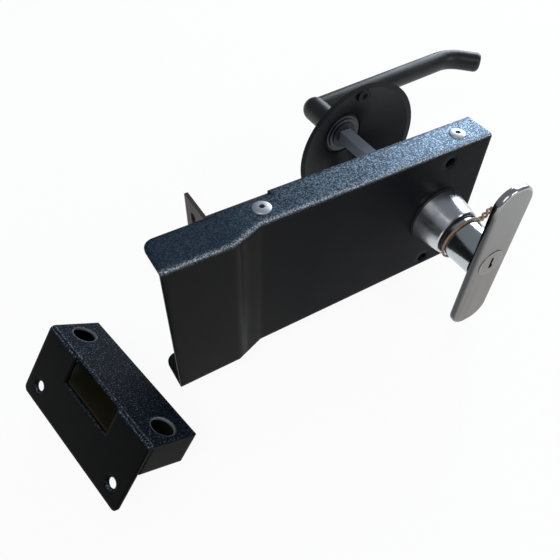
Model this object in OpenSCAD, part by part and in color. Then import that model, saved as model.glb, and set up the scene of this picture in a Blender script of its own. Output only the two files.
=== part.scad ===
// Fire door rim lock with a hooded case, a T handle with key, a lever on the far side and a strike box.
// The origin is on the spindle axis at the door face. X runs along the case, Y goes into the door, Z is up.

/* [Case] */
// Length of the case from the free end of the hood to the end wall
case_len = 198; // [190:1:230]
// Height of the case
case_h = 90; // [89:1:100]
// Depth of the case from the door face to its front
case_d = 19; // [19:0.5:22]
// Thickness of the cover sheet
sheet = 1.5; // [1.2:0.1:1.8]
// Outer radius of the long bends of the cover
bend_r = 2; // [2:0.1:3]
// Distance from the spindle axis to the end wall
axis_from_end = 28; // [26:1:34]
// Height of the spindle axis above the bottom of the case
axis_up = 44; // [43.5:0.5:45]
// Thickness of the back plate
plate_t = 1.5; // [1.2:0.1:1.6]
// Spacing of the two through bolts above and below the spindle
bolt_gap = 73; // [70:1:74]
// Diameter of the through bolt holes
bolt_hole = 6.4; // [5.2:0.2:6.6]

/* [Hood] */
// Length of the flat front of the hood
hood_flat = 35.5; // [33:0.5:38]
// Length of the slope between the hood and the case front
jog_run = 16.5; // [12:0.5:20]
// How far the hood stands proud of the case front
hood_proud = 6; // [4:0.5:9]
// How far the hood's flanges stop short of the door face
hood_short = 3; // [1:0.5:5]
// Distance from the hood's free end to the step in its flanges
step_from_end = 66.5; // [60:0.5:72]
// Radius of the hood's free corners
hood_corner = 6; // [3:0.5:8]

/* [Forend] */
// Distance from the hood's free end to the forend plate
forend_from_end = 31.5; // [29:0.5:33]
// Width of the forend behind the door face
forend_w = 19.5; // [16:0.5:24]
// Thickness of the forend plate
forend_t = 2; // [1.6:0.1:2.4]
// Spacing of the two forend screw slots
slot_gap = 66; // [60:1:70]
// Width of a forend screw slot
slot_w = 5; // [4:0.5:6]
// Length of a forend screw slot
slot_len = 8; // [7:0.5:10]

/* [Latch] */
// Height of the latch bolt
latch_h = 34; // [30:1:36]
// Thickness of the latch bolt
latch_t = 13; // [12:0.5:13]
// Length of the latch bolt
latch_len = 30.5; // [28:0.5:33]
// How far the latch stands out of the forend
throw = 12; // [10:0.5:12.5]
// Diameter of the latch rod
rod_d = 6; // [5:0.5:6.5]
// Wire diameter of the latch spring
latch_wire = 1.1; // [0.8:0.1:1.2]
// Turns of the latch spring
latch_turns = 8; // [6:1:9]

/* [Follower] */
// Distance from the spindle axis to the follower pin
arm_r = 18; // [17.5:0.5:19]
// Turn of the handle from rest to its stop
swing = 40; // [36:1:42]
// Diameter of the follower hub
hub_d = 20; // [19:0.5:21]
// Diameter of the follower journals
journal_d = 16; // [15:0.5:17]
// Diameter of the follower pin
pin_d = 5; // [4:0.5:5.5]
// Height of the draw bar strip
bar_h = 12; // [11:0.5:12.5]
// Thickness of the draw bar strip
bar_t = 2.5; // [2:0.1:2.8]
// Wire diameter of the return spring
return_wire = 1; // [0.7:0.1:1.1]
// Turns of the return spring
return_turns = 12; // [10:1:14]

/* [Spindle] */
// Width of the square spindle across its flats
spindle_w = 8; // [7:0.5:9]
// Thickness of the door between the case and the rose
door_t = 57.5; // [50:0.5:65]

/* [T handle] */
// Diameter of the collar where it meets the case
cone_d = 35.2; // [33:0.2:38]
// Diameter of the collar at its outer end
cone_end_d = 29; // [28:0.2:31]
// Length of the collar
cone_len = 19; // [17:0.5:22]
// Diameter of the handle neck
neck_d = 25.2; // [24:0.2:26.4]
// Distance from the case front to the face of the T plate
grip_out = 45.5; // [44:0.5:52]
// Length of the T plate
grip_len = 102; // [90:1:120]
// Width of the T plate
grip_w = 25; // [23:0.5:30]
// Thickness of the T plate
grip_t = 4.5; // [3.5:0.5:5]
// Corner radius of the T plate
grip_r = 11; // [8:0.5:11.5]
// Diameter of the lock cylinder
cyl_d = 17; // [16:0.5:18]
// Diameter of the key plug
plug_d = 12.5; // [12:0.5:13.5]
// Diameter of the loop wire round the neck
tie_wire = 1.5; // [1.2:0.1:1.8]

/* [Lever] */
// Diameter of the rose
rose_d = 89.4; // [86:0.2:96]
// Depth of the rose
rose_depth = 20.5; // [18:0.5:23]
// Thickness of the rose wall
rose_t = 1.5; // [1.2:0.1:1.8]
// Diameter of the tapped holes in the rose's posts
post_hole = 4.2; // [3.8:0.1:4.8]
// Distance from the rose rim to the centre line of the lever bar
lever_out = 50.5; // [46:0.5:60]
// Diameter of the lever neck
lever_neck_d = 17; // [16:0.5:19]
// Diameter of the lever bar
lever_d = 14.6; // [13:0.2:16]
// Length of the lever bar from the spindle axis to its bend
lever_len = 124; // [100:1:140]
// Radius of the bend at the lever's tip
tip_bend = 24; // [20:1:30]
// Length of the straight end past the bend
tip_len = 15; // [10:1:18]

/* [Strike] */
// Length of the strike box
strike_len = 86; // [82:1:86]
// Width of the strike box
strike_w = 28; // [26:0.5:29]
// Height of the strike box
strike_h = 17; // [16:0.5:19]
// Height of the strike's front plate
strike_plate_h = 40; // [36:0.5:44]
// Spacing of the two access holes and of the screw holes under them
access_gap = 68; // [60:1:70]
// Diameter of the access holes
access_d = 11.6; // [9:0.2:12]
// Spacing of the countersunk holes in the front plate
csk_gap = 66.8; // [60:0.2:70]
// Outer radius of the strike's bend
strike_bend = 2.2; // [1.8:0.2:3]
// Diameter of the strike's screw holes
screw_hole = 5.2; // [4.2:0.2:5.6]

/* [Hidden] */
$fn = 64;

// Clearances
slack = 0.1;       // flat neighbours inside the case
fit = 0.05;        // radial clearance of a running fit
loose = 0.4;       // each side of a pin in a slot
eps = 0.01;
lap = 0.02;        // where two round pieces of one bar run into each other

// Case
x_end = axis_from_end;
x_hood = x_end - case_len;
x_flat = x_hood + hood_flat;
x_jog = x_flat + jog_run;
x_step = x_hood + step_from_end;
z_bot = -axis_up;
z_top = case_h - axis_up;
z_mid = (z_bot + z_top) / 2;
y_front = -case_d;
y_hood = y_front - hood_proud;
y_cave = y_front + sheet;
jog_lean = atan2(hood_proud, jog_run);
jog_shift = sheet * tan(jog_lean / 2);
flange_depth = case_d - sheet - bend_r;
bump_from = 36;    // the small swelling in the hood flange's back edge
bump_len = 10;
bump_out = 1.2;

// Rivets in the two flanges
rivet_x = [x_hood + 58, x_end - 17];
rivet_y = -case_d / 2;
rivet_head_d = 9.6;
rivet_head_h = 1.1;
rivet_shank_d = 4.8;
rivet_bulb_d = 6.6;
rivet_bulb_h = 3;
rivet_eye_d = 2.8;

// Forend and latch
x_fore = x_hood + forend_from_end;
x_fore_in = x_fore + forend_t;
y_latch = -plate_t - 0.5;
y_rod = y_latch - latch_t / 2;
x_nose = x_fore - throw;
x_rear = x_nose + latch_len;
nose_flat = 2;
rod_seat = 12;

// Follower, draw bar and their springs
travel = 2 * arm_r * sin(swing / 2);
pin_low = arm_r * cos(swing / 2);
pin_x = -arm_r * sin(swing / 2);
z_bar = (pin_low + arm_r) / 2;
y_bar = -plate_t - 2.6;
y_bar_front = y_bar - bar_t;
arm_t = 4;
arm_w = 9;
y_arm = y_bar_front - 1.9;
hub_back = y_bar + 0.6;
nut_t = 3;
hub_front = y_cave + nut_t + 0.3;
bar_right = pin_x + 8;
guide_t = 2;
guide_h = 24;
foot_t = 2;
foot_len = 9;
x_guide = x_rear + travel + throw + foot_len + 0.7;
x_tab = x_guide + guide_t + 6;
tab_t = bar_t;
tab_h = 16;
y_tab_front = y_rod - rod_d / 2 - 2.5;
nut_len = 4.5;
nut_w = 11;
stud_x = [pin_x - 50, pin_x - 24];
stud_d = 6;
stud_cap_d = 10;
stud_cap_t = 1.4;
lug_x = pin_x - 40;
lug_rise = 7.5;
lug_w = 8;
z_return = z_bar + bar_h / 2 + 4;
y_return = y_bar - bar_t / 2;
post_x = lug_x - 54;
post_d = 3;
return_r = 2.6;
bush_wall = 2;

// Collar, handle neck and lock cylinder
gasket_t = 0.5;
y_cone = y_front - gasket_t;
y_cone_end = y_front - cone_len;
shank_d = journal_d + 2 * bush_wall + 4;
spigot_d = 22;
y_spigot = y_front - 2.2;
ring_t = 1.4;
y_neck = y_cone_end - ring_t;
y_grip = y_front - grip_out;
y_grip_back = y_grip + grip_t;
square = spindle_w + 2 * fit;
y_spindle = y_front - 12.8;
spindle_len = -y_spindle + door_t + rose_depth + 20;
chamber_d = 14;
cyl_proud = 0.3;
y_cyl_in = y_neck - 3.4;
tail_d = 4;
cam_r = 4.4;
cam_throw = 1.8;
cam_t = 4;
cam_start = 135;
y_pin = y_front - 15.5;
lock_pin_d = 3;
lock_travel = 2 * cam_throw * cos(45);
lock_low = cam_r - cam_throw * cos(45) + 0.15;
lock_top = spigot_d / 2 - 0.3;
groove_r = lock_top + lock_travel + 0.3;
key_w = 1.8;
key_h = 8;
tie_r = neck_d / 2 + tie_wire / 2 + 0.15;

// Rose and lever
y_rose = door_t;
y_face = door_t + rose_depth;
rose_hub_d = 27;
bell_power = 1.4;
rose_bore = 21;
boss_h = 3;
y_floor = y_face - boss_h;
bolt_post_d = 9;
lever_journal = 18;
y_bush = y_floor - 1;
clip_t = 1;
y_hub_in = y_bush - clip_t - slack - 0.8;
tip_round = 4;
y_bar_line = y_rose + lever_out;
lever_rake = 4.7;
tip_turn = 50;
grub_d = 5;
y_grub = y_face + 14;

// Strike: it stands apart from the lock on the lower edge of its plate and the back edge of its box
strike_at = [-216.5, 16.7, -5.1];
strike_yaw = 11.2;
strike_tilt = 37.7;
end_gap = 0.6;
strike_corner = 3;
access_x = strike_w / 2;
csk_z = -31;
window_len = 36.5;
window_h = 15.3;
window_top = 0.9;

// Moves a shape drawn as radius and height so that its axis lies along Y
module along_y() rotate([-90, 0, 0]) children();

// Cylinder along Y from y0 to y1
module rod_y(d, y0, y1) translate([0, y0, 0]) along_y() cylinder(d = d, h = y1 - y0);

// Cylinder along X from x0 to x1 at the given Y and Z
module rod_x(d, x0, x1, y, z) translate([x0, y, z]) rotate([0, 90, 0]) cylinder(d = d, h = x1 - x0);

// Cylinder along Z from z0 to z1 at the given X and Y
module rod_z(d, x, y, z0, z1) translate([x, y, z0]) cylinder(d = d, h = z1 - z0);

// Block between two corners
module block(a, b) translate(a) cube(b - a);

// Flat outline drawn in X and Z, made thick from y0 to y1
module plate_xz(y0, y1) translate([0, y1, 0]) rotate([90, 0, 0]) linear_extrude(y1 - y0) children();

// Flat outline drawn in Y and Z, made thick from x0 to x1
module plate_yz(x0, x1) translate([x0, 0, 0]) rotate([90, 0, 90]) linear_extrude(x1 - x0) children();

// Straight slot with round ends, drawn in two dimensions along its first axis
module slot_2d(len, w) {
    square([len - w, w], center = true);
    for (s = [-1, 1]) translate([s * (len - w) / 2, 0]) circle(d = w);
}

// Rectangle with four round corners
module round_rect(w, h, r) {
    square([w - 2 * r, h], center = true);
    square([w, h - 2 * r], center = true);
    for (sx = [-1, 1], sz = [-1, 1]) translate([sx * (w / 2 - r), sz * (h / 2 - r)]) circle(r);
}

// Section of the folded cover: two round corners at the front, square at the back
module cover_section(y0, y1, z0, z1, r) {
    translate([y0 + r, z0]) square([y1 - y0 - r, z1 - z0]);
    translate([y0, z0 + r]) square([r + eps, z1 - z0 - 2 * r]);
    for (z = [z0 + r, z1 - r]) translate([y0 + r, z]) circle(r, $fn = 32);
}

// Solid with the outer shape of the cover, drawn in by the given inset
module cover_solid(inset, x0, x1, y1) {
    z0 = z_bot + inset;
    z1 = z_top - inset;
    r = bend_r - inset;
    shift = inset > 0 ? jog_shift : 0;
    plate_yz(x0, x_flat - shift) cover_section(y_hood + inset, y1, z0, z1, r);
    plate_yz(x_jog - shift, x1) cover_section(y_front + inset, y1, z0, z1, r);
    hull() {
        plate_yz(x_flat - shift - eps, x_flat - shift) cover_section(y_hood + inset, y1, z0, z1, r);
        plate_yz(x_jog - shift, x_jog - shift + eps) cover_section(y_front + inset, y1, z0, z1, r);
    }
}

// Cuts a free corner of the hood's flanges round
module hood_corner_cut() {
    translate([x_hood - 1, -hood_short - hood_corner, z_bot - 1]) difference() {
        cube([hood_corner + 1, hood_corner + 1, case_h + 2]);
        translate([hood_corner + 1, 0, -1]) cylinder(r = hood_corner, h = case_h + 4);
    }
}

module case_cover() color("#23262b") difference() {
    union() {
        difference() {
            cover_solid(0, x_hood, x_end, 0);
            cover_solid(sheet, x_hood - 1, x_end - sheet, 1);
            block([x_hood - 1, -hood_short, z_bot - 1], [x_step, 1, z_top + 1]);
            hood_corner_cut();
        }
        for (z = [z_bot, z_top - sheet]) translate([x_hood + bump_from, -hood_short - eps, z])
            linear_extrude(sheet) polygon([[0, 0], [bump_out, bump_out], [bump_len - bump_out, bump_out], [bump_len, 0]]);
    }
    rod_y(shank_d + 2 * slack, y_front - 1, y_cave + 1);
    for (s = [-1, 1]) translate([0, 0, s * bolt_gap / 2]) rod_y(bolt_hole, y_front - 1, y_cave + 1);
    for (x = rivet_x) rod_z(rivet_shank_d + 2 * fit, x, rivet_y, z_bot - 1, z_top + 1);
}

module back_plate() color("#3a3736") difference() {
    x0 = x_fore_in;
    x1 = x_end - sheet - slack;
    z0 = z_bot + sheet + slack;
    z1 = z_top - sheet - slack;
    union() {
        block([x0, -plate_t, z0], [x1, 0, z1]);
        block([x0 + 14, -flange_depth, z0], [x1, -eps, z0 + plate_t]);
        block([x0 + 14, -flange_depth, z1 - plate_t], [x1, -eps, z1]);
    }
    rod_y(journal_d + 2 * bush_wall + 2 * fit, -plate_t - 1, 1);
    for (s = [-1, 1]) translate([0, 0, s * bolt_gap / 2]) rod_y(bolt_hole, -plate_t - 1, 1);
    for (x = rivet_x) rod_z(rivet_shank_d + 2 * fit, x, rivet_y, z_bot, z_top);
    for (s = [-1, 1]) translate([x_guide - foot_len / 2, 0, z_mid + s * guide_h * 0.36]) rod_y(3.1, -plate_t - 1, 1);
}

module forend_plate() color("#3c3836") {
    y0 = y_hood + sheet + slack;
    z0 = z_bot + sheet + slack;
    z1 = z_top - sheet - slack;
    cut = 1.6;
    plate_yz(x_fore, x_fore_in) difference() {
        polygon([[y0 + cut, z0], [forend_w, z0], [forend_w, z1], [y0 + cut, z1], [y0, z1 - cut], [y0, z0 + cut]]);
        translate([y_rod, z_mid]) square([latch_t + 2 * 0.3, latch_h + 2 * 0.3], center = true);
        for (s = [-1, 1]) translate([forend_w * 0.56, z_mid + s * slot_gap / 2]) rotate(90) slot_2d(slot_len, slot_w);
    }
}

// Blind rivet standing on the plane Z = 0, with its head up and its formed end below the grip
module blind_rivet(grip) difference() {
    union() {
        rotate_extrude() polygon(concat([[0, 0], [rivet_head_d / 2, 0]],
            [for (a = [10 : 10 : 60]) [rivet_head_d / 2 * cos(a), rivet_head_h * sin(a)]], [[0, rivet_head_h]]));
        translate([0, 0, -grip - rivet_bulb_h]) cylinder(d = rivet_shank_d, h = grip + rivet_bulb_h + eps);
        translate([0, 0, -grip - rivet_bulb_h]) cylinder(d = rivet_bulb_d, h = rivet_bulb_h);
    }
    translate([0, 0, -grip]) cylinder(d = rivet_eye_d, h = grip + rivet_head_h + 1);
}

module case_rivets() color("#c9ced4") {
    grip = sheet + slack + plate_t;
    for (x = rivet_x) {
        translate([x, rivet_y, z_top]) blind_rivet(grip);
        translate([x, rivet_y, z_bot]) mirror([0, 0, 1]) blind_rivet(grip);
    }
}

module bolt_spacers() color("#8d9196")
    for (s = [-1, 1]) translate([0, 0, s * bolt_gap / 2]) difference() {
        rod_y(bolt_hole + 2.2, y_cave + slack / 2, -plate_t - slack / 2);
        rod_y(bolt_hole, y_cave - 1, 0);
    }

module latch_bolt() color("#b9a15a") difference() {
    translate([0, 0, z_mid - latch_h / 2]) linear_extrude(latch_h) polygon([
        [x_nose, y_latch - latch_t], [x_rear, y_latch - latch_t], [x_rear, y_latch],
        [x_fore - 0.5, y_latch], [x_nose, y_latch - latch_t + nose_flat]]);
    rod_x(rod_d + 2 * fit, x_rear - rod_seat, x_rear + 1, y_rod, z_mid);
}

module latch_rod() color("#9aa0a6")
    rod_x(rod_d, x_rear - rod_seat + slack, x_tab + tab_t + nut_len + 1, y_rod, z_mid);

module rod_nut() color("#a9adb2") difference() {
    rod_x(nut_w, x_tab + tab_t + slack, x_tab + tab_t + nut_len, y_rod, z_mid, $fn = 6);
    rod_x(rod_d + 2 * fit, x_tab, x_tab + tab_t + nut_len + 1, y_rod, z_mid);
}

module rod_guide() color("#7f858c") difference() {
    union() {
        block([x_guide, y_cave + 2, z_mid - guide_h / 2], [x_guide + guide_t, -plate_t, z_mid + guide_h / 2]);
        block([x_guide - foot_len, -plate_t - foot_t, z_mid - guide_h / 2],
              [x_guide + eps, -plate_t, z_mid + guide_h / 2]);
    }
    rod_x(rod_d + 2 * fit, x_guide - 1, x_guide + guide_t + 1, y_rod, z_mid);
    for (s = [-1, 1]) translate([x_guide - foot_len / 2, 0, z_mid + s * guide_h * 0.36]) rod_y(3.1, y_latch - 8, 0);
}

module guide_screws() color("#b4b8bd")
    for (s = [-1, 1]) translate([x_guide - foot_len / 2, 0, z_mid + s * guide_h * 0.36]) difference() {
        union() {
            rod_y(3, -plate_t - foot_t - eps, -0.2);
            rod_y(5.6, -plate_t - foot_t - 1.6, -plate_t - foot_t);
        }
        translate([0, -plate_t - foot_t - 1.6, 0]) cube([6, 1.2, 0.9], center = true);
    }

module draw_bar() color("#8b8f94") difference() {
    union() {
        block([x_tab, y_bar_front, z_bar - bar_h / 2], [bar_right, y_bar, z_bar + bar_h / 2]);
        block([x_tab, y_tab_front, z_mid - tab_h / 2], [x_tab + tab_t, y_bar, z_bar + bar_h / 2]);
        block([lug_x - lug_w / 2, y_bar_front, z_bar], [lug_x + lug_w / 2, y_bar, z_bar + bar_h / 2 + lug_rise]);
    }
    rod_x(rod_d + 0.3, x_tab - 1, x_tab + tab_t + 1, y_rod, z_mid);
    translate([pin_x, 0, z_bar]) plate_xz(y_bar_front - 1, y_bar + 1)
        rotate(90) slot_2d(pin_d + 2 * loose + arm_r - pin_low, pin_d + 2 * loose);
    for (x = stud_x) translate([x - travel / 2, 0, z_bar]) plate_xz(y_bar_front - 1, y_bar + 1)
        slot_2d(stud_d + travel + 1, stud_d + 0.2);
    translate([lug_x, 0, z_return]) rod_y(post_d, y_bar_front - 1, y_bar + 1);
}

module bar_studs() color("#a4a8ad")
    for (x = stud_x) translate([x, 0, z_bar]) {
        rod_y(stud_cap_d, y_bar + slack, -plate_t);
        rod_y(stud_d, y_bar_front - 0.2 - eps, y_bar + slack + eps);
        rod_y(stud_cap_d, y_bar_front - 0.2 - stud_cap_t, y_bar_front - 0.2);
    }

module spring_post() color("#a4a8ad") translate([post_x, 0, z_return]) {
    rod_y(post_d, y_return - 3.5, -plate_t);
    rod_y(post_d + 2, y_return - 4.5, y_return - 3.5 + eps);
}

// Tube along a list of points: one ring of six sides at each point, with closed ends
function unit(v) = v / norm(v);
function tangent(p, i) = unit(p[min(i + 1, len(p) - 1)] - p[max(i - 1, 0)]);
function carried(u, t) = unit(u - t * (u * t));
function frames(p, i, u) = let (n = carried(u, tangent(p, i)))
    i == len(p) - 1 ? [n] : concat([n], frames(p, i + 1, n));
module tube_along(p, d, up = [0.3, 0.1, 1], sides = 6) {
    n = len(p);
    ups = frames(p, 0, up);
    rings = [for (i = [0 : n - 1], k = [0 : sides - 1])
        let (t = tangent(p, i), side = cross(t, ups[i]), a = 360 * k / sides)
        p[i] + d / 2 * (cos(a) * ups[i] + sin(a) * side)];
    walls = [for (i = [0 : n - 2], k = [0 : sides - 1])
        let (a = i * sides + k, b = i * sides + (k + 1) % sides) each [[a, b + sides, b], [a, a + sides, b + sides]]];
    first = [for (k = [1 : sides - 2]) [0, k, k + 1]];
    last = [for (k = [1 : sides - 2]) let (o = (n - 1) * sides) [o, o + k + 1, o + k]];
    polyhedron(concat(rings), concat(walls, first, last));
}

// Least distance between points of a path that lie more than one turn's quarter apart
function least_gap(p, d, skip) = min([for (i = [0 : len(p) - 1], j = [i + skip : 1 : len(p) - 1]) norm(p[i] - p[j])]) - d;

// Coil along X, from x0 to x1
rings_per_turn = 12;
function coil(x0, x1, r, turns, y, z) = [for (i = [0 : turns * rings_per_turn])
    let (k = i / (turns * rings_per_turn), a = 360 * turns * k) [x0 + (x1 - x0) * k, y + r * cos(a), z + r * sin(a)]];

latch_path = coil(x_rear + latch_wire / 2 + slack, x_guide - latch_wire / 2 - slack,
                  rod_d / 2 + latch_wire / 2 + 0.4, latch_turns, y_rod, z_mid);
return_coil = coil(post_x + 5, lug_x - 5, return_r, return_turns + 0.5, y_return, z_return);
return_path = concat(
    [for (a = [200 : 40 : 400]) [post_x, y_return, z_return] + (post_d / 2 + return_wire / 2 + 0.1) * [sin(a), 0, cos(a)]],
    [[post_x + 3.2, y_return + return_r * 0.4, z_return]], return_coil,
    [for (q = [[-4.2, y_bar_front - 0.95], [-1.2, y_bar_front - 0.95], [-0.3, y_bar_front - 0.5],
               [0, y_bar_front + 0.3], [0, y_bar + 0.7]]) [lug_x + q[0], q[1], z_return]]);

module latch_spring() color("#c3c6ca") tube_along(latch_path, latch_wire);

module return_spring() color("#c3c6ca") tube_along(return_path, return_wire);

module follower() color("#9b9186") difference() {
    union() {
        rod_y(hub_d, hub_front, hub_back);
        rod_y(journal_d, y_front + 0.8, hub_front + eps);
        rod_y(journal_d, hub_back - eps, -slack);
        rotate([0, -swing / 2, 0]) {
            block([-arm_w / 2, y_arm - arm_t, 0], [arm_w / 2, y_arm, arm_r]);
            translate([0, 0, arm_r]) rod_y(arm_w, y_arm - arm_t, y_arm);
        }
    }
    block([-square / 2, y_front, -square / 2], [square / 2, 1, square / 2]);
    rotate([0, -swing / 2, 0]) translate([0, 0, arm_r]) rod_y(pin_d + 2 * fit, y_arm - arm_t - 1, y_arm + 1);
}

module follower_pin() color("#c0c3c7") rotate([0, -swing / 2, 0]) translate([0, 0, arm_r])
    rod_y(pin_d, y_arm - arm_t, y_bar + 0.7);

module rear_bush() color("#c8a24a") difference() {
    union() {
        rod_y(journal_d + 2 * bush_wall, -plate_t - eps, 0);
        rod_y(journal_d + 2 * bush_wall + 4, hub_back + slack, -plate_t);
    }
    rod_y(journal_d + 2 * fit, hub_back - 1, 1);
}

module front_bush() color("#c8a24a") difference() {
    rod_y(journal_d + 2 * bush_wall, y_front + 0.4, y_cave + nut_t);
    rod_y(journal_d + 2 * fit, y_front - 1, y_cave + nut_t + 1);
}

module spindle() color("#8a93a3")
    block([-spindle_w / 2, y_spindle, -spindle_w / 2], [spindle_w / 2, y_spindle + spindle_len, spindle_w / 2]);

module collar_gasket() color("#0d0d0e") difference() {
    rod_y(cone_d + 0.6, y_cone, y_front);
    rod_y(shank_d + 2 * slack, y_cone - 1, y_front + 1);
}

module cone_collar() color("#b8bec6") difference() {
    along_y() rotate_extrude() polygon([
        [journal_d / 2 + bush_wall + fit, y_cave + nut_t], [shank_d / 2, y_cave + nut_t], [shank_d / 2, y_cone],
        [cone_d / 2, y_cone], [cone_d / 2, y_cone - 1.2], [cone_end_d / 2, y_cone_end + 0.6],
        [cone_end_d / 2 - 0.5, y_cone_end], [neck_d / 2 + 0.9, y_cone_end], [neck_d / 2 + 0.9, y_cone_end + 0.8],
        [spigot_d / 2 + fit, y_cone_end + 0.8], [spigot_d / 2 + fit, y_spigot + 0.2],
        [journal_d / 2 + bush_wall + fit, y_spigot + 0.2]]);
    // arc in which the locking pin stands out of the neck
    translate([0, y_pin, 0]) rotate([90, 0, 0]) rotate([0, 0, 90 - swing - 10])
        rotate_extrude(angle = swing + 20) translate([0, -lock_pin_d / 2 - 0.15]) square([groove_r, lock_pin_d + 0.3]);
}

module collar_nut() color("#9fa4aa") difference() {
    rod_y(shank_d + 10, y_cave + slack, y_cave + nut_t, $fn = 6);
    rod_y(shank_d + 2 * fit, y_cave - 1, y_cave + nut_t + 1);
}

module neck_ring() color("#101113") difference() {
    rod_y(neck_d + 1.4, y_neck + slack, y_cone_end + 0.7);
    rod_y(spigot_d + 2 * fit, y_neck - 1, y_cone_end + 2);
}

module handle_neck() color("#9aa2ab") difference() {
    union() {
        rod_y(neck_d, y_grip_back, y_neck);
        rod_y(spigot_d, y_neck - eps, y_spigot);
    }
    rod_y(cyl_d + 2 * fit, y_grip_back - 1, y_cyl_in);
    rod_y(chamber_d, y_cyl_in - 1, y_spindle - 0.4);
    block([-square / 2, y_spindle - 1, -square / 2], [square / 2, y_spigot + 1, square / 2]);
    rod_z(lock_pin_d + 2 * fit, 0, y_pin, 0, spigot_d);
}

module t_plate() color("#8d8a85") difference() {
    plate_xz(y_grip, y_grip_back) round_rect(grip_w, grip_len, grip_r);
    rod_y(cyl_d + 2 * fit, y_grip - 1, y_grip_back + 1);
}

module cylinder_body() color("#8f8d89") difference() {
    rod_y(cyl_d, y_grip - cyl_proud, y_cyl_in - slack);
    rod_y(plug_d + 2 * fit, y_grip - 1, y_cyl_in - 1);
    rod_y(tail_d + 2 * fit, y_grip, y_cyl_in + 1);
}

module key_plug() color("#86847f") difference() {
    union() {
        rod_y(plug_d, y_grip - cyl_proud, y_cyl_in - 1.2);
        rod_y(tail_d, y_cyl_in - 1.2 - eps, y_pin + cam_t / 2 + 0.2);
    }
    block([-key_w / 2, y_grip - 1, -key_h / 2], [key_w / 2, y_cyl_in - 3, key_h / 2]);
    block([0, y_grip - 1, -key_h / 2], [key_w, y_cyl_in - 3, -key_h / 2 + 2.4]);
}

module plug_clip() color("#b7babd") difference() {
    rod_y(tail_d + 5, y_cyl_in + slack, y_cyl_in + slack + 0.8);
    rod_y(tail_d + 2 * fit, y_cyl_in - 1, y_cyl_in + 2);
    block([-tail_d / 2 + 0.4, y_cyl_in - 1, -tail_d], [tail_d / 2 - 0.4, y_cyl_in + 2, 0]);
}

module lock_cam() color("#c8a24a") difference() {
    rotate([0, cam_start, 0]) translate([0, 0, cam_throw]) rod_y(2 * cam_r, y_pin - cam_t / 2, y_pin + cam_t / 2);
    rod_y(tail_d + 2 * fit, y_pin - cam_t, y_pin + cam_t);
}

module locking_pin() color("#b7babd") rod_z(lock_pin_d, 0, y_pin, lock_low, lock_top);

// Wire loop round the neck, whose two ends are twisted together and cut off short
tie_y = y_neck - 2.4;
tie_steps = 30;
tie_twist = 14;
tie_at = 52;
function tie_point(a, y) = [tie_r * sin(a), y, tie_r * cos(a)];
function tie_strand(s) = [for (i = [0 : tie_twist])
    let (k = i / tie_twist, out = tie_r + 1.2 + 8 * k, a = 450 * k + 180 * s, w = tie_wire / 2 + 0.32)
    [sin(tie_at) * out, tie_y, cos(tie_at) * out] + w * cos(a) * [0, 1, 0]
    + w * sin(a) * [cos(tie_at), 0, -sin(tie_at)]];
tie_loop = [for (i = [0 : tie_steps]) let (k = i / tie_steps, a = tie_at + 9 + 342 * k) tie_point(a, tie_y + 1.1 - 2.2 * k)];
tie_path = concat([for (i = [tie_twist : -1 : 0]) tie_strand(0)[i]], tie_loop, tie_strand(1));

module wire_tie() color("#8a5a3c") tube_along(tie_path, tie_wire);

// Outer and inner surface of the rose as radius and height, at a share t of its depth
function bell_slope(t) = -bell_power * (rose_d - rose_hub_d) / 2 * pow(1 - t, bell_power - 1);
function bell_out(t) = [rose_hub_d / 2 + (rose_d - rose_hub_d) / 2 * pow(1 - t, bell_power), y_rose + rose_depth * t];
function bell_in(t) = bell_out(t) + rose_t / norm([rose_depth, bell_slope(t)]) * [-rose_depth, bell_slope(t)];
bell_steps = 14;
bell_outside = [for (i = [0 : bell_steps]) bell_out(i / bell_steps)];
bell_inside = [for (i = [bell_steps : -1 : 0]) let (q = bell_in(i / bell_steps))
    if (q[1] < y_floor - 0.2 && q[1] > y_rose + 0.3) q];
rim_w = rose_t * norm([rose_depth, bell_slope(0)]) / rose_depth;

module rose() color("#15171b") difference() {
    union() {
        along_y() rotate_extrude() polygon(concat(bell_outside,
            [[rose_bore / 2, y_face], [rose_bore / 2, y_floor], [bell_inside[0][0] - 0.3, y_floor]],
            bell_inside, [[rose_d / 2 - rim_w, y_rose]]));
        intersection() {
            along_y() rotate_extrude() polygon(concat([[0, y_rose]], bell_outside, [[0, y_face]]));
            for (s = [-1, 1]) translate([0, 0, s * bolt_gap / 2]) rod_y(bolt_post_d, y_rose, y_face);
        }
    }
    for (s = [-1, 1]) translate([0, 0, s * bolt_gap / 2]) rod_y(post_hole, y_rose - 1, y_face);
}

module rose_bush() color("#1b1c1f") difference() {
    union() {
        rod_y(rose_bore - 2 * fit, y_floor - eps, y_face + 0.4);
        rod_y(rose_bore + 5, y_bush, y_floor);
    }
    rod_y(lever_journal + 2 * fit, y_bush - 1, y_face + 1);
}

module lever_circlip() color("#9a9fa5") difference() {
    rod_y(lever_journal + 4.4, y_bush - clip_t - slack, y_bush - slack);
    rod_y(lever_journal + 2 * fit, y_bush - 3, y_bush + 1);
    block([-4, y_bush - 3, -lever_journal], [4, y_bush + 1, 0]);
}

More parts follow.
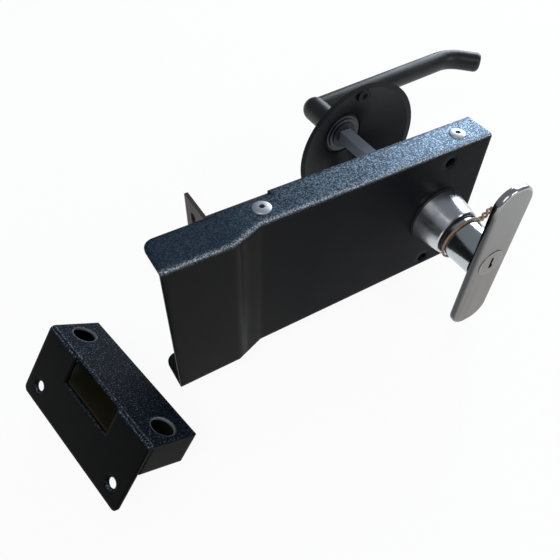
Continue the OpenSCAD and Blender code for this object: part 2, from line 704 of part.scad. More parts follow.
// Outer shape of the lever: neck with a domed end, bar, bend and tip
module lever_form() {
    r = lever_neck_d / 2;
    tip_r = lever_d / 2 + lap;
    along_y() rotate_extrude() polygon(concat(
        [[0, y_hub_in], [lever_journal / 2, y_hub_in], [lever_journal / 2, y_face + 0.5],
         [lever_journal / 2 + 1, y_face + 0.5], [lever_journal / 2 + 1, y_face + 4], [r, y_face + 5]],
        [for (a = [0 : 10 : 90]) [r * cos(a), y_bar_line + r * sin(a)]]));
    translate([0, y_bar_line, 0]) rotate([0, 0, lever_rake]) {
        rod_x(lever_d + 2 * lap, 0, lever_len + lap, 0, 0);
        translate([lever_len, -tip_bend, 0]) {
            rotate([0, 0, 90 - tip_turn]) rotate_extrude(angle = tip_turn) translate([tip_bend, 0]) circle(d = lever_d);
            rotate([0, 0, -tip_turn]) translate([-lap, tip_bend, 0]) rotate([0, 90, 0]) rotate_extrude()
                polygon(concat([[0, tip_len], [0, 0], [tip_r, 0]],
                    [for (a = [0 : 15 : 90]) [tip_r - tip_round, tip_len - tip_round] + tip_round * [cos(a), sin(a)]]));
        }
    }
}

module lever() color("#17181b") difference() {
    lever_form();
    block([-square / 2, y_hub_in - 1, -square / 2], [square / 2, y_spindle + spindle_len + 1, square / 2]);
    rod_z(grub_d + 2 * fit, 0, y_grub, -lever_neck_d, 0);
}

module lever_grub_screw() color("#2a2b2e") difference() {
    rod_z(grub_d, 0, y_grub, -lever_neck_d / 2 + 0.6, -spindle_w / 2 - 0.15);
    rod_z(2.5, 0, y_grub, -lever_neck_d, -lever_neck_d / 2 + 2.4, $fn = 6);
}

// Places the strike: its plate faces the viewer's left, its box runs back and down from the plate
module at_strike() translate(strike_at) rotate([0, 0, strike_yaw]) rotate([0, strike_tilt, 0]) children();

module strike_cover() color("#1c2028") at_strike() difference() {
    union() {
        translate([0, -strike_len / 2, -strike_plate_h / 2]) plate_yz(0, sheet) {
            round_rect(strike_len, strike_plate_h, strike_corner);
            translate([-strike_len / 2, 0]) square([strike_len, strike_plate_h / 2]);
        }
        block([0, -strike_len, -sheet], [strike_w, 0, 0]);
        for (y = [-strike_len, -sheet])
            block([sheet + end_gap, y, -strike_h], [strike_w, y + sheet, -eps]);
    }
    difference() {
        block([-1, -strike_len - 1, -strike_bend], [strike_bend, 1, 1]);
        translate([strike_bend, 0, -strike_bend]) rotate([90, 0, 0])
            translate([0, 0, -2]) cylinder(r = strike_bend, h = strike_len + 4);
    }
    block([-1, -(strike_len + window_len) / 2, -window_top - window_h],
          [sheet, -(strike_len - window_len) / 2, -window_top]);
    for (s = [-1, 1]) {
        rod_z(access_d, access_x, -strike_len / 2 + s * access_gap / 2, -sheet - 1, 1);
        translate([0, -strike_len / 2 + s * csk_gap / 2, csk_z]) {
            rod_x(screw_hole, -1, sheet + 1, 0, 0);
            rotate([0, 90, 0]) translate([0, 0, -eps])
                cylinder(d1 = screw_hole + 2.6, d2 = screw_hole, h = sheet * 0.6);
        }
    }
}

module strike_base() color("#5d5a3c") at_strike() difference() {
    union() {
        block([sheet + end_gap, -strike_len + sheet + slack, -strike_h], [strike_w, -sheet - slack, -strike_h + sheet]);
        block([strike_w - sheet, -strike_len + sheet + slack, -strike_h + eps], [strike_w, -sheet - slack, -sheet - slack]);
    }
    for (s = [-1, 1]) rod_z(screw_hole, access_x, -strike_len / 2 + s * access_gap / 2, -strike_h - 1, -strike_h + sheet + 1);
}

echo(latch_spring_gap = least_gap(latch_path, latch_wire, 9));
echo(return_spring_gap = least_gap(return_path, return_wire, 9));
echo(wire_tie_gap = least_gap(tie_path, tie_wire, 6));

case_cover();
back_plate();
forend_plate();
case_rivets();
bolt_spacers();
latch_bolt();
latch_rod();
rod_nut();
latch_spring();
rod_guide();
guide_screws();
draw_bar();
bar_studs();
return_spring();
spring_post();
follower();
follower_pin();
rear_bush();
front_bush();
spindle();
collar_gasket();
cone_collar();
collar_nut();
neck_ring();
handle_neck();
t_plate();
cylinder_body();
key_plug();
plug_clip();
lock_cam();
locking_pin();
wire_tie();
rose();
rose_bush();
lever_circlip();
lever();
lever_grub_screw();
strike_cover();
strike_base();
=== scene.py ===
import math

import bmesh
import bpy
from mathutils import Matrix, Vector


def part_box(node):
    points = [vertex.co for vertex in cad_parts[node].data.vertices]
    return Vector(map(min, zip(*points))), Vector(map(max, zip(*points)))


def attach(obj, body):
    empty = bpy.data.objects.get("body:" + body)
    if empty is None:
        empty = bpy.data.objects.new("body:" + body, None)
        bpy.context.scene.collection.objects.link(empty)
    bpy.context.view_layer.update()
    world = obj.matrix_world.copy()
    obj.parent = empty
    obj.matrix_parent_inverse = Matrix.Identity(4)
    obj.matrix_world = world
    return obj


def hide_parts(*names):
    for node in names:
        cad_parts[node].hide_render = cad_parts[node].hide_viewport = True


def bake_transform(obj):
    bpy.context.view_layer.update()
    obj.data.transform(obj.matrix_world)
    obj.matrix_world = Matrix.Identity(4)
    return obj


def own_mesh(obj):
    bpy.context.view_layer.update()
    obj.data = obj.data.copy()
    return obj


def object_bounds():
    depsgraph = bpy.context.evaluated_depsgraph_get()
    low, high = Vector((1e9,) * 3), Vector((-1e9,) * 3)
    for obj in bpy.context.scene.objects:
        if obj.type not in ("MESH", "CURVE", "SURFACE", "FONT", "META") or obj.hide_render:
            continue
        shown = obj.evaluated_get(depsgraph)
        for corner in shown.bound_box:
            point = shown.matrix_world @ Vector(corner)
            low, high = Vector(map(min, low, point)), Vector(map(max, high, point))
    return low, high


# A fire door rim lock in the CAD's frame, which is in metres. Lengths of pieces are written in
# millimetres and turned into metres with MM.
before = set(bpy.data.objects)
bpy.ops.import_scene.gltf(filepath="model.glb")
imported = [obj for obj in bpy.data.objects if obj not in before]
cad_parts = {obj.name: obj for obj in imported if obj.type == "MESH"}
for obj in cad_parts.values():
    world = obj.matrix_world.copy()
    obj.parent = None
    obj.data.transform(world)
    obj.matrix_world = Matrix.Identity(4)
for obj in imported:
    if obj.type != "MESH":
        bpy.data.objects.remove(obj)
cad_box = [[float(v) for v in corner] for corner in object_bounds()]
scene = bpy.context.scene
MM = 0.001


def box_mm(node):
    """Lowest and highest corner of a CAD node at rest, in millimetres."""
    return [[v / MM for v in corner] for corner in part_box(node)]


# Materials
class Mat:
    """A material with short calls for its nodes."""

    def __init__(self, name, color, rough, metal, spec=0.5):
        self.material = bpy.data.materials.new(name)
        self.material.use_nodes = True
        self.tree = self.material.node_tree
        self.shader = self.tree.nodes["Principled BSDF"]
        self.shader.inputs["Base Color"].default_value = (*color, 1)
        self.shader.inputs["Roughness"].default_value = rough
        self.shader.inputs["Metallic"].default_value = metal
        self.shader.inputs["Specular IOR Level"].default_value = spec
        coords = self.tree.nodes.new("ShaderNodeTexCoord")
        self.place = coords.outputs["Object"]
        self.facing = coords.outputs["Normal"]

    def node(self, kind, inputs, **settings):
        """A new node. An input is given as the output that it is linked to, or as a value."""
        new = self.tree.nodes.new(kind)
        for key, value in settings.items():
            setattr(new, key, value)
        for key, value in inputs.items():
            if isinstance(value, bpy.types.NodeSocket):
                self.tree.links.new(value, new.inputs[key])
            else:
                new.inputs[key].default_value = value
        return new

    def noise(self, scale, detail=3, rough=0.5, stretch=(1, 1, 1)):
        """Noise over the piece's own coordinates. A small stretch along an axis draws it out into lines."""
        at = self.node("ShaderNodeMapping", {"Vector": self.place, "Scale": stretch})
        inputs = {"Vector": at.outputs["Vector"], "Scale": scale, "Detail": detail, "Roughness": rough}
        return self.node("ShaderNodeTexNoise", inputs).outputs["Fac"]

    def xyz(self, vector):
        """The three parts of a vector."""
        split = self.node("ShaderNodeSeparateXYZ", {0: vector})
        return split.outputs["X"], split.outputs["Y"], split.outputs["Z"]

    def between(self, value, start, end, low=0.0, high=1.0):
        """Runs from low to high while the value runs from start to end, and stays there outside."""
        inputs = {"Value": value, "From Min": start, "From Max": end, "To Min": low, "To Max": high}
        return self.node("ShaderNodeMapRange", inputs).outputs[0]

    def ramp(self, value, stops, curve="LINEAR"):
        """Colours along a value. A stop is a place from 0 to 1 and a colour, or one number for a grey."""
        new = self.node("ShaderNodeValToRGB", {"Fac": value})
        new.color_ramp.interpolation = curve
        elements = new.color_ramp.elements
        while len(elements) < len(stops):
            elements.new(0.5)
        for element, (at, look) in zip(elements, stops):
            element.position = at
            element.color = (*look, 1) if isinstance(look, tuple) else (look, look, look, 1)
        return new.outputs["Color"]

    def grey(self, value, low, high, start=0.3, end=0.7):
        return self.ramp(value, [(start, low), (end, high)])

    def times(self, first, *others):
        for other in others:
            first = self.node("ShaderNodeMath", {0: first, 1: other}, operation="MULTIPLY").outputs[0]
        return first

    def most(self, a, b):
        return self.node("ShaderNodeMath", {0: a, 1: b}, operation="MAXIMUM").outputs[0]

    def mixed(self, share, color, other):
        """The first colour, and the other one where the share is 1."""
        return self.node("ShaderNodeMix", {0: share, 6: color, 7: (*other, 1)}, data_type="RGBA").outputs[2]

    def hole_rim_highlight(self, centre, axis, radius):
        """Faint ring of painted highlight on the wall and the rim of a round hole."""
        # the distance from the hole's axis is the length of a cross product
        away = self.node("ShaderNodeVectorMath", {0: self.place, 1: centre}, operation="SUBTRACT")
        cross = self.node("ShaderNodeVectorMath", {0: away.outputs[0], 1: axis}, operation="CROSS_PRODUCT")
        length = self.node("ShaderNodeVectorMath", {0: cross.outputs[0]}, operation="LENGTH")
        rim, wall, light = 0.7 * MM, 0.1 * MM, 0.22
        return self.between(length.outputs["Value"], radius + rim, radius - wall, 0.0, light)

    def color(self, out):
        self.tree.links.new(out, self.shader.inputs["Base Color"])

    def rough(self, out):
        self.tree.links.new(out, self.shader.inputs["Roughness"])

    def metal(self, out):
        self.tree.links.new(out, self.shader.inputs["Metallic"])

    def bump(self, height, strength, depth, over=None):
        """Relief on the surface, or over an earlier normal."""
        inputs = {"Strength": strength, "Distance": depth, "Height": height}
        if over is not None:
            inputs["Normal"] = over
        out = self.node("ShaderNodeBump", inputs).outputs["Normal"]
        self.tree.links.new(out, self.shader.inputs["Normal"])
        return out


class Coat(Mat):
    """Black leathery coat: calm on upright faces. Where a face looks up it gets a painted sky reflection in
    navy, and fine metallic ridges with painted pale-blue glints.
    """
    roughness, relief = 0.40, 0.35 * MM
    # colour of the painted highlight along bends and on the rims of holes
    highlight_color = (0.74, 0.83, 0.93)

    def __init__(self, name, base, spec, grain, faces_up, bend_radius):
        super().__init__(name, base, self.roughness, 0.0, spec)
        self.skin = self.noise(grain, 2.5, 0.6)
        self.broad = self.noise(38, 3)
        self.x, _, self.z = self.xyz(self.place)
        self.upward = self.xyz(self.facing)[2]
        self.faces_up = faces_up
        self.up = self.grey(self.upward, 0.0, 1.0, *faces_up)
        self.plain = self.ramp(self.broad, [(0.3, base), (0.75, tuple(c * 1.25 for c in base))])
        self.soft = self.node("ShaderNodeBevel", {"Radius": bend_radius}, samples=8).outputs["Normal"]
        _, self.soft_y, self.soft_z = self.xyz(self.soft)

    def bend(self, light, slopes):
        """Painted highlight along a bend, broken up by the grain: strongest where the softened surface has
        the middle slope.
        """
        start, middle, end = slopes
        grainy_highlight = self.ramp(self.skin, [(0.40, 0.10), (0.52, 0.45), (0.62, 1.0)])
        return self.times(grainy_highlight, self.ramp(self.soft_z, [(start, 0.0), (middle, light), (end, 0.0)]))

    def finish(self, navy, glint, bright, painted_highlight, shape):
        """Puts the coat together: plain, then the navy painted sky reflection, the bright ridges with
        painted glints, the painted highlights and the grain.
        """
        # painted reflection: navy where a face looks up, pale-blue glints on the bright ridges; the ridges
        # are also metallic, so they reflect the lamps too
        coat = self.mixed(bright, self.mixed(self.up, self.plain, navy), glint)
        # painted highlight in pale blue-white, also made metallic so that it reflects the lamps
        self.color(self.mixed(painted_highlight, coat, self.highlight_color))
        self.metal(self.most(bright, painted_highlight))
        self.rough(self.grey(self.broad, self.roughness - 0.05, self.roughness + 0.06))
        calm = self.grey(self.upward, 0.2, 1.0, *self.faces_up)
        self.bump(self.times(self.skin, calm), 0.8, self.relief, shape)
        return self.material


CASE_LOW, CASE_HIGH = box_mm("case_cover")
HOOD_FLAT, HOOD_SLOPE = 35.5, 16.5


def cover_coat():
    """Coat of the case cover: painted reflection that grows brighter towards the lever, a painted highlight
    along the front bend, and a soft fold.
    """
    base, navy, glint = (0.0102, 0.0103, 0.0105), (0.0095, 0.018, 0.031), (0.295, 0.415, 0.54)
    m = Coat("cover_coat", base, spec=0.04, grain=1380, faces_up=(0.25, 0.80), bend_radius=4.5 * MM)
    # places along the case, from the latch end to the lever's end
    hood_end, dark_from, full_from, full_to = -135 * MM, -85 * MM, -70 * MM, 10 * MM
    # the walls of holes and slots look up too, but lie lower than the top flange, so the painted sky
    # reflection and glints are kept almost off them
    lowest = (CASE_HIGH[2] - 6.5) * MM
    on_top = m.between(m.z, lowest - 5 * MM, lowest, 0.05, 1.0)
    m.up = m.times(m.up, on_top)
    ridges = m.ramp(m.skin, [(0.41, 0.03), (0.50, 0.26), (0.60, 1.0)])
    # painted highlight: towards the lever's end the ridges get a floor and a larger share of glint
    ridges = m.most(ridges, m.between(m.x, full_from, full_to, 0.0, 0.36))
    bright = m.times(ridges, m.up, m.between(m.x, hood_end, 0.0, 0.08, 0.92))
    # painted highlight along the front bend only
    grainy_highlight = m.bend(light=0.95, slopes=(0.45, 0.80, 0.995))
    painted_highlight = m.times(grainy_highlight, on_top, m.between(m.soft_y, -0.08, -0.30))
    # painted shade: past the hood the upright faces are darker and a little bluer
    m.plain = m.mixed(m.between(m.x, hood_end, dark_from, 0.0, 0.60), m.plain, (0.0, 0.0006, 0.0035))
    slope = (CASE_LOW[0] + HOOD_FLAT) * MM
    across = m.between(m.x, slope, slope + HOOD_SLOPE * MM)
    fold = m.ramp(across, [(0.10, 1.0), (0.38, 0.0), (0.98, 1.0)], "EASE")
    upright = m.grey(m.upward, 1.0, 0.0, 0.2, 0.7)
    shape = m.bump(m.times(fold, upright), 1.0, 1.1 * MM, m.soft)
    return m.finish(navy, glint, bright, painted_highlight, shape)


# The strike's place and its access holes, as in the CAD
STRIKE_AT, STRIKE_YAW, STRIKE_TILT = (-216.5, 16.7, -5.1), 11.2, 37.7
ACCESS_X, ACCESS_Y, ACCESS_R = 14, (-9, -77), 5.8


def strike_coat():
    """Coat of the strike: sparse ridges with painted glints on its tilted top, and faint rings of painted
    highlight in the two access holes.
    """
    base, navy, glint = (0.0028, 0.0030, 0.0034), (0.0016, 0.0040, 0.0090), (0.33, 0.45, 0.59)
    m = Coat("strike_coat", base, spec=0.03, grain=1350, faces_up=(0.66, 0.76), bend_radius=2 * MM)
    ridges = m.ramp(m.skin, [(0.50, 0.0), (0.58, 0.10), (0.69, 1.0)])
    plate_side, case_side = -240 * MM, -180 * MM
    # painted glints, denser at the end away from the case
    bright = m.times(ridges, m.up, m.between(m.x, plate_side, case_side, 0.38, 0.20))
    # painted highlight along the strike's bend, and below on the rims of the access holes
    painted_highlight = m.bend(light=0.22, slopes=(0.84, 0.93, 0.99))
    turned = Matrix.Translation(Vector(STRIKE_AT) * MM)
    turned @= Matrix.Rotation(math.radians(STRIKE_YAW), 4, "Z")
    turned @= Matrix.Rotation(math.radians(STRIKE_TILT), 4, "Y")
    axis = tuple(turned.to_3x3() @ Vector((0, 0, 1)))
    for y in ACCESS_Y:
        centre = tuple(turned @ (Vector((ACCESS_X, y, 0)) * MM))
        painted_highlight = m.most(painted_highlight, m.hole_rim_highlight(centre, axis, ACCESS_R * MM))
    return m.finish(navy, glint, bright, painted_highlight, m.soft)


def brushed(name, color, rough, metal=1.0, scale=900, stretch=(1, 1, 0.04)):
    """Metal with fine lines along the axis of the least stretch, or an even grain."""
    m = Mat(name, color, rough, metal)
    lines = m.noise(scale, 4, 0.6, stretch)
    m.color(m.ramp(m.noise(60), [(0.3, tuple(c * 0.86 for c in color)), (0.7, color)]))
    m.rough(m.grey(lines, rough - 0.07, rough + 0.10))
    m.bump(lines, 0.08, 0.2 * MM)
    return m.material


def polished(name, color, rough):
    """Chrome with faint clouds and scratches."""
    m = Mat(name, color, rough, 1.0)
    m.color(m.ramp(m.noise(70), [(0.3, tuple(c * 0.9 for c in color)), (0.7, color)]))
    m.rough(m.grey(m.noise(220, 4), rough - 0.03, rough + 0.06))
    m.bump(m.noise(90, 2), 0.03, 0.4 * MM)
    return m.material


def powder(name, color, rough, spec=0.2):
    """Matt coat, plastic or rubber with a fine even grain."""
    m = Mat(name, color, rough, 0.0, spec)
    cloud = m.noise(35)
    m.color(m.ramp(cloud, [(0.3, color), (0.75, tuple(c * 1.35 + 0.002 for c in color))]))
    m.rough(m.grey(cloud, rough - 0.06, rough + 0.06))
    m.bump(m.noise(1800, 2), 0.35, 0.1 * MM)
    return m.material


GRIP_LOW, GRIP_HIGH = box_mm("t_plate")


def plate_face():
    """Brushed nickel of the T plate, with painted light: lighter at the top, darker and warmer towards its
    lower end.
    """
    low, mid, high, rough = (0.164, 0.157, 0.146), (0.207, 0.201, 0.194), (0.268, 0.270, 0.272), 0.33
    m = Mat("plate_nickel", high, rough, 1.0)
    end = 6
    height = m.between(m.xyz(m.place)[2], (GRIP_LOW[2] + end) * MM, (GRIP_HIGH[2] - end) * MM)
    lines = m.noise(260, 4, 0.6, (1, 1, 0.06))
    # painted shade towards the lower end, painted light towards the top
    m.color(m.ramp(height, [(0.0, low), (0.5, mid), (1.0, high)]))
    m.rough(m.grey(lines, rough - 0.02, rough + 0.05))
    m.bump(m.noise(900), 0.03, 0.2 * MM)
    return m.material


def plate_edge():
    """Chrome edge of the T plate, with painted reflection: dark sides, lighter towards the front, and a
    painted highlight at the top end.
    """
    side, front, top, rough = (0.072, 0.074, 0.080), (0.200, 0.195, 0.188), (0.45, 0.45, 0.45), 0.17
    m = Mat("plate_edge_chrome", side, rough, 1.0)
    turn = m.between(m.xyz(m.facing)[1], -0.25, -0.95)
    height = m.between(m.xyz(m.place)[2], (GRIP_HIGH[2] - 15) * MM, (GRIP_HIGH[2] - 3) * MM)
    # painted reflection and highlight, by the facing and the height
    m.color(m.mixed(height, m.ramp(turn, [(0.0, side), (1.0, front)]), top))
    m.rough(m.grey(m.noise(220, 4), rough - 0.03, rough + 0.06))
    return m.material


# What each piece is made of
EVEN, ALONG_X, ALONG_Y = (1, 1, 1), (0.04, 1, 1), (1, 0.04, 1)
BRASS = brushed("works_brass", (0.60, 0.46, 0.22), 0.30)
DARK_STEEL = brushed("dark_steel", (0.075, 0.088, 0.105), 0.42)
WORKS_ZINC = brushed("works_zinc", (0.42, 0.43, 0.45), 0.36, stretch=ALONG_X)
SPRING_WIRE = brushed("spring_wire", (0.48, 0.49, 0.51), 0.3, stretch=EVEN)
TIE_COAT = powder("tie_coat", (0.27, 0.18, 0.12), 0.32, spec=0.4)
LOOKS = {
    "case_cover": cover_coat(),
    "strike_cover": strike_coat(),
    "strike_base": powder("strike_inside", (0.023, 0.022, 0.012), 0.6, spec=0.1),
    "back_plate": brushed("dark_zinc", (0.07, 0.068, 0.066), 0.5),
    "forend_plate": powder("forend_coat", (0.030, 0.024, 0.022), 0.5),
    "case_rivets": brushed("rivet_metal", (0.455, 0.485, 0.52), 0.45, scale=1500, stretch=EVEN),
    "latch_bolt": brushed("bolt_bronze", (0.50, 0.41, 0.22), 0.32),
    # the spindle's light blue-grey is zinc, partly a painted sky reflection
    "spindle": brushed("spindle_zinc", (0.42, 0.49, 0.60), 0.40, metal=0.6, stretch=ALONG_Y),
    "collar_gasket": powder("seal_rubber", (0.012, 0.012, 0.013), 0.75),
    "neck_ring": powder("ring_plastic", (0.014, 0.014, 0.016), 0.4),
    "rose": powder("rose_coat", (0.0060, 0.0068, 0.0085), 0.42, spec=0.15),
    "rose_bush": powder("bush_plastic", (0.035, 0.042, 0.052), 0.40, spec=0.4),
    "lever": powder("lever_coat", (0.0085, 0.0095, 0.011), 0.40, spec=0.3),
    "cone_collar": polished("collar_chrome", (0.58, 0.61, 0.65), 0.20),
    "handle_neck": polished("neck_chrome", (0.50, 0.55, 0.57), 0.14),
    "cylinder_body": brushed("cylinder_nickel", (0.27, 0.262, 0.25), 0.33, stretch=EVEN),
    "key_plug": brushed("plug_nickel", (0.25, 0.243, 0.232), 0.34, stretch=EVEN),
    "rear_bush": BRASS, "front_bush": BRASS, "lock_cam": BRASS,
    # the bolt spacers are dark as painted shade inside the case's front holes
    "lever_circlip": DARK_STEEL, "lever_grub_screw": DARK_STEEL, "bolt_spacers": DARK_STEEL,
}
for name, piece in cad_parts.items():
    piece.data.materials.clear()
    piece.data.materials.append(LOOKS.get(name, WORKS_ZINC))


# Mesh helpers
def add_mesh(name, verts, faces, looks, body, strips=()):
    """A smooth mesh with sharp edges above 35 degrees. Strips holds the number of each face's look."""
    mesh = bpy.data.meshes.new(name)
    mesh.from_pydata([tuple(v) for v in verts], [], faces)
    mesh.update()
    piece = bpy.data.objects.new(name, mesh)
    scene.collection.objects.link(piece)
    for look in looks:
        mesh.materials.append(look)
    for polygon, k in zip(mesh.polygons, strips):
        polygon.material_index = k
    work = bmesh.new()
    work.from_mesh(mesh)
    bmesh.ops.recalc_face_normals(work, faces=work.faces)
    work.to_mesh(mesh)
    work.free()
    for polygon in mesh.polygons:
        polygon.use_smooth = True
    mesh.set_sharp_from_angle(angle=math.radians(35))
    if body:
        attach(piece, body)
    return piece


def tube(name, path, diameter, look, body):
    """Round wire along a list of points, with domed ends. Path and diameter are in millimetres."""
    p = [Vector(q) * MM for q in path]
    radius, sides = diameter / 2 * MM, 12
    last = len(p) - 1
    along = [(p[min(i + 1, last)] - p[max(i - 1, 0)]).normalized() for i in range(len(p))]
    # a ring is the number of its point, how far it stands out along the wire, and its share of the radius
    tip, shoulder = 0.02, 0.7
    rings = [(0, -1, tip), (0, -shoulder, shoulder)]
    rings += [(i, 0, 1.0) for i in range(len(p))]
    rings += [(last, shoulder, shoulder), (last, 1, tip)]
    up = Vector((0.3, 0.1, 1))
    verts, faces = [], []
    for i, out, share in rings:
        up = (up - along[i] * up.dot(along[i])).normalized()
        side = along[i].cross(up)
        centre = p[i] + along[i] * out * radius
        for s in range(sides):
            a = 2 * math.pi * s / sides
            verts.append(centre + (up * math.cos(a) + side * math.sin(a)) * radius * share)
    for r in range(len(rings) - 1):
        for s in range(sides):
            t = (s + 1) % sides
            faces.append((r * sides + s, r * sides + t, (r + 1) * sides + t, (r + 1) * sides + s))
    faces.append(tuple(range(sides))[::-1])
    faces.append(tuple((len(rings) - 1) * sides + s for s in range(sides)))
    return add_mesh(name, verts, faces, [look], body)


def smooth_path(points, steps):
    """Points of a smooth curve through the given points."""
    p = [Vector(q) for q in points]
    p = [2 * p[0] - p[1]] + p + [2 * p[-1] - p[-2]]
    out = []
    for i in range(1, len(p) - 2):
        a, b, c, d = p[i - 1:i + 3]
        for k in range(steps):
            t = k / steps
            out.append(0.5 * (2 * b + (c - a) * t + (2 * a - 5 * b + 4 * c - d) * t * t
                              + (3 * b - a - 3 * c + d) * t ** 3))
    return out + [p[-2]]


def coil(x0, x1, radius, turns, y, z):
    """Points of a coil along X."""
    per_turn = 28
    n = int(turns * per_turn)
    step = 2 * math.pi / per_turn
    return [(x0 + (x1 - x0) * i / n, y + radius * math.cos(step * i), z + radius * math.sin(step * i))
            for i in range(n + 1)]


# Springs, tie wire and T plate, in place of the plainer solids
def latch_spring():
    """One coil in two halves: the draw bar presses the rear half, and the latch the front half."""
    wire, turns = 1.1, 8
    low, high = box_mm("latch_spring")
    radius = (high[2] - low[2] - wire) / 2
    y, z = (low[1] + high[1]) / 2, (low[2] + high[2]) / 2
    path = coil(low[0] + wire / 2, high[0] - wire / 2, radius, turns, y, z)
    half = len(path) // 2
    rear = tube("latch_spring_rear", path[half:], wire, SPRING_WIRE, None)
    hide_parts("latch_spring")
    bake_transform(rear)
    front = tube("latch_spring_front", path[:half + 1], wire, SPRING_WIRE, "draw_bar")
    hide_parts("latch_spring")
    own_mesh(front)


def return_spring():
    """Coil from a hook round the case's post to a tail through the draw bar's lug."""
    wire, radius, turns = 1.0, 2.6, 12.5
    post_to_lug, coil_to_post, hook_radius = 54, 5, 2.1
    low, high = box_mm("spring_post")
    post_x, z = (low[0] + high[0]) / 2, (low[2] + high[2]) / 2
    lug_x = post_x + post_to_lug
    bar_back = box_mm("draw_bar")[1][1]
    y = bar_back - 1.25
    hook = []
    for degrees in range(200, 401, 20):
        a = math.radians(degrees)
        hook.append((post_x + hook_radius * math.sin(a), y, z + hook_radius * math.cos(a)))
    hook.append((post_x + 3.2, y + 0.4 * radius, z))
    windings = coil(post_x + coil_to_post, lug_x - coil_to_post, radius, turns, y, z)
    # the tail runs in front of the bar and turns back through the lug's hole
    front = bar_back - 3.45
    tail = [(lug_x - 4.2, front, z), (lug_x - 1.2, front, z), (lug_x - 0.3, front + 0.45, z),
            (lug_x, front + 1.25, z), (lug_x, bar_back + 0.7, z)]
    run = smooth_path(hook, 3)[:-1] + windings + smooth_path(tail, 4)
    spring = tube("return_spring_wire", run, wire, SPRING_WIRE, None)
    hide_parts("return_spring")
    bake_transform(spring)


def wire_tie():
    """Wire round the handle's neck, slightly uneven, with its two ends twisted together."""
    wire, neck_gap, ring_gap = 1.5, 0.15, 2.5
    radius = box_mm("handle_neck")[1][0] + wire / 2 + neck_gap
    y = box_mm("neck_ring")[0][1] - ring_gap
    # the loop starts and ends beside the knot, and winds a little along the neck
    knot, half_mouth, half_pitch = math.radians(52), 9, 1.1
    loop_steps, slack, uneven_r, uneven_y = 120, 0.1, 0.12, 0.25
    loop = []
    for i in range(loop_steps + 1):
        k = i / loop_steps
        a = knot + math.radians(half_mouth + (360 - 2 * half_mouth) * k)
        r = radius + slack + uneven_r * math.sin(5 * a)
        wavy_y = y + half_pitch * (1 - 2 * k) + uneven_y * math.sin(3 * a)
        loop.append((r * math.sin(a), wavy_y, r * math.cos(a)))
    # the ends stand out from the neck and wind round each other
    twist_start, twist_len, twist_degrees, twist_steps, strand_gap = 1.2, 8, 450, 28, 0.32
    aside = wire / 2 + strand_gap
    ends = []
    for turned in (0, 180):
        strand = []
        for i in range(twist_steps + 1):
            k = i / twist_steps
            out = radius + twist_start + twist_len * k
            a = math.radians(twist_degrees * k + turned)
            strand.append((math.sin(knot) * out + aside * math.sin(a) * math.cos(knot),
                           y + aside * math.cos(a),
                           math.cos(knot) * out - aside * math.sin(a) * math.sin(knot)))
        ends.append(strand)
    tie = tube("tie_wire_loop", ends[0][::-1] + loop + ends[1], wire, TIE_COAT, "handle")
    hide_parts("wire_tie")


def plate_outline(inset):
    """Rounded rectangle in X and Z: the T plate's outline, drawn in by the inset."""
    count, corner = 32, 11 - inset
    w, h = GRIP_HIGH[0] - inset - corner, GRIP_HIGH[2] - inset - corner
    out = []
    for sx, sz, first in ((1, 1, 0), (-1, 1, 90), (-1, -1, 180), (1, -1, 270)):
        for i in range(count):
            a = math.radians(first + 90 * i / (count - 1))
            out.append((sx * w + corner * math.cos(a), sz * h + corner * math.sin(a)))
    return out


def t_plate():
    """T plate with rounded edges and the hole for the lock cylinder."""
    front, back, edge = GRIP_LOW[1], GRIP_HIGH[1], 1.5
    fit, chamfer, chamfer_share = 0.08, 0.3, 1.035
    hole = box_mm("cylinder_body")[1][0] + fit
    rim = plate_outline(0)
    around = [(hole * x / math.hypot(x, z), hole * z / math.hypot(x, z)) for x, z in rim]
    wide = [(x * chamfer_share, z * chamfer_share) for x, z in around]
    # one more row on the face, two thirds of the way in from the edge
    inner = [((x + 2 * u) / 3, (z + 2 * v) / 3) for (x, z), (u, v) in zip(plate_outline(edge), wide)]
    face = [(around, front + chamfer), (wide, front), (inner, front)]
    quarter = [math.radians(a) for a in range(0, 91, 15)]
    rolled = [(plate_outline(edge * (1 - math.sin(a))), front + edge * (1 - math.cos(a))) for a in quarter]
    rolled += [(plate_outline(edge * (1 - math.cos(a))), back - edge * (1 - math.sin(a))) for a in quarter]
    rows = face + rolled + [(wide, back), (around, back - chamfer)]
    n = len(rim)
    verts = [Vector((x, y, z)) * MM for outline, y in rows for x, z in outline]
    faces, strips = [], []
    for r in range(len(rows)):
        t = (r + 1) % len(rows)
        on_edge = len(face) <= r < len(face) + len(rolled) - 1
        for i in range(n):
            j = (i + 1) % n
            faces.append((r * n + i, r * n + j, t * n + j, t * n + i))
            strips.append(1 if on_edge else 0)
    plate = add_mesh("t_plate_rounded", verts, faces, [plate_face(), plate_edge()], "handle", strips)
    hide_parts("t_plate")


latch_spring()
return_spring()
wire_tie()
t_plate()


# Camera
def photo_camera():
    """The photo's view, solved from its straight edges."""
    data = bpy.data.cameras.new("camera")
    camera = bpy.data.objects.new("camera", data)
    scene.collection.objects.link(camera)
    data.sensor_width = 36.0
    data.lens = 37.085
    data.shift_x = -0.0016
    data.clip_start = 0.01
    data.clip_end = 200
    eye = (-0.21490, -0.18574, 0.22534)
    ahead = Vector((0.36308, 0.55587, -0.74778)).normalized()
    up = Vector((0.37372, 0.64829, 0.66337)).normalized()
    right = ahead.cross(up).normalized()
    up = right.cross(ahead)
    camera.matrix_world = Matrix.Translation(eye) @ Matrix((right, up, -ahead)).transposed().to_4x4()
    scene.camera = camera


photo_camera()
scene.view_settings.view_transform = "Standard"


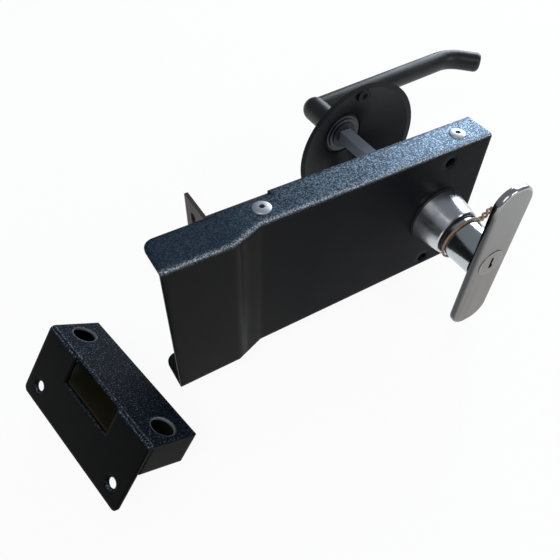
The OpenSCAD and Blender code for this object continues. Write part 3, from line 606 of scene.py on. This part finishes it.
# Light and floor
def area_light(name, at, size, power, color):
    """Square light that looks at the middle of the lock."""
    data = bpy.data.lights.new(name, "AREA")
    data.shape = "SQUARE"
    data.size = size
    data.energy = power
    data.color = color
    light = bpy.data.objects.new(name, data)
    middle = Vector((-0.07, 0.0, 0.0))
    light.location = at
    light.rotation_euler = (middle - Vector(at)).to_track_quat("-Z", "Y").to_euler()
    scene.collection.objects.link(light)


def sky():
    """Even, cool light from all sides."""
    world = bpy.data.worlds.new("world")
    scene.world = world
    world.use_nodes = True
    background = world.node_tree.nodes["Background"]
    background.inputs["Color"].default_value = (0.88, 0.93, 1.0, 1)
    background.inputs["Strength"].default_value = 0.28


def white_floor():
    """Floor that is nearly pure white to the camera and in reflections, and still takes the shadow."""
    white, drop, reach = 0.93, 1.5 * MM, 40.0
    m = Mat("floor_white", (0.86, 0.86, 0.86), 0.9, 0.0, 0.0)
    ray = m.node("ShaderNodeLightPath", {}).outputs
    seen = ray["Is Glossy Ray"]
    for other in (ray["Is Transmission Ray"], ray["Is Camera Ray"]):
        seen = m.node("ShaderNodeMath", {0: seen, 1: other}, operation="ADD", use_clamp=True).outputs[0]
    share = m.node("ShaderNodeMath", {0: seen, 1: white}, operation="MULTIPLY").outputs[0]
    glow = m.node("ShaderNodeEmission", {"Color": (1, 1, 1, 1), "Strength": 1.0})
    mix = m.node("ShaderNodeMixShader", {"Fac": share, 1: m.shader.outputs[0], 2: glow.outputs[0]})
    m.tree.links.new(mix.outputs[0], m.tree.nodes["Material Output"].inputs["Surface"])
    z = cad_box[0][2] - drop
    corners = [(-reach, -reach, z), (reach, -reach, z), (reach, reach, z), (-reach, reach, z)]
    mesh = bpy.data.meshes.new("floor")
    mesh.from_pydata(corners, [], [(0, 1, 2, 3)])
    mesh.materials.append(m.material)
    floor = bpy.data.objects.new("floor", mesh)
    scene.collection.objects.link(floor)


COOL, WARM = (0.80, 0.89, 1.0), (1.0, 0.98, 0.95)
area_light("window", (1.25, 0.75, 0.65), 1.1, 24, COOL)
area_light("key", (-0.9, -0.5, 1.3), 0.9, 9, WARM)
area_light("fill", (0.5, -1.05, 0.8), 0.6, 5, WARM)
sky()
white_floor()
